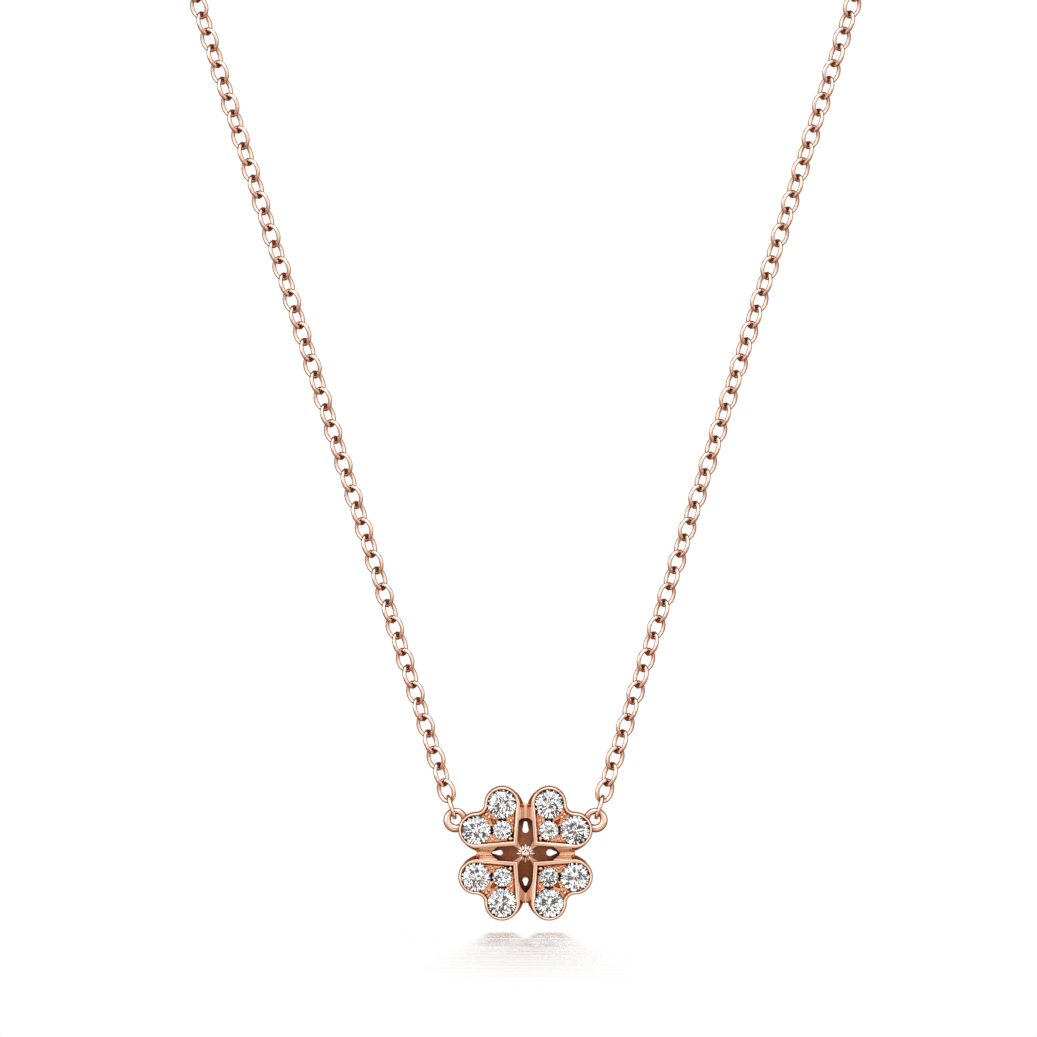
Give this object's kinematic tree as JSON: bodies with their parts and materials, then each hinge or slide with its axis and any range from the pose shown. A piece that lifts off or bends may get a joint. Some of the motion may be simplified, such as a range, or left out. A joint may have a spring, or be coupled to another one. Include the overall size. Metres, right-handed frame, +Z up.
{
  "type": "four leaf clover pendant necklace",
  "caption": "Clover pendant of stone-set hearts, held by a lug at each side between the ends of a fine cable chain that closes at the nape with a spring ring.",
  "frame": {"origin": "middle of the clasp's ring, where the necklace sits at the nape", "axes": "+Z up, -Y the way the wearer and the clover face, +X to the right of someone who looks at the clover"},
  "size_m": [0.0934, 0.0827, 0.1408],
  "materials": {
    "rose_gold": "polished rose gold",
    "stone": "clear brilliant cut"
  },
  "bodies": {
    "necklace": {"chain_front_left": "rose_gold", "chain_front_right": "rose_gold", "chain_back_left": "rose_gold", "chain_back_right": "rose_gold", "clasp": "rose_gold", "end_ring": "rose_gold"},
    "pendant": {"clover": "rose_gold", "stone_ne_first": "stone", "stone_ne_second": "stone", "stone_ne_point": "stone", "stone_nw_first": "stone", "stone_nw_second": "stone", "stone_nw_point": "stone", "stone_sw_first": "stone", "stone_sw_second": "stone", "stone_sw_point": "stone", "stone_se_first": "stone", "stone_se_second": "stone", "stone_se_point": "stone"}
  },
  "joints": [
    {"name": "pendant_swing", "type": "hinge", "parent": "necklace", "child": "pendant", "pos_m": [0, -0.08, -0.13024], "axis": [1, 0, 0], "range_deg": [-75, 75]}
  ]
}
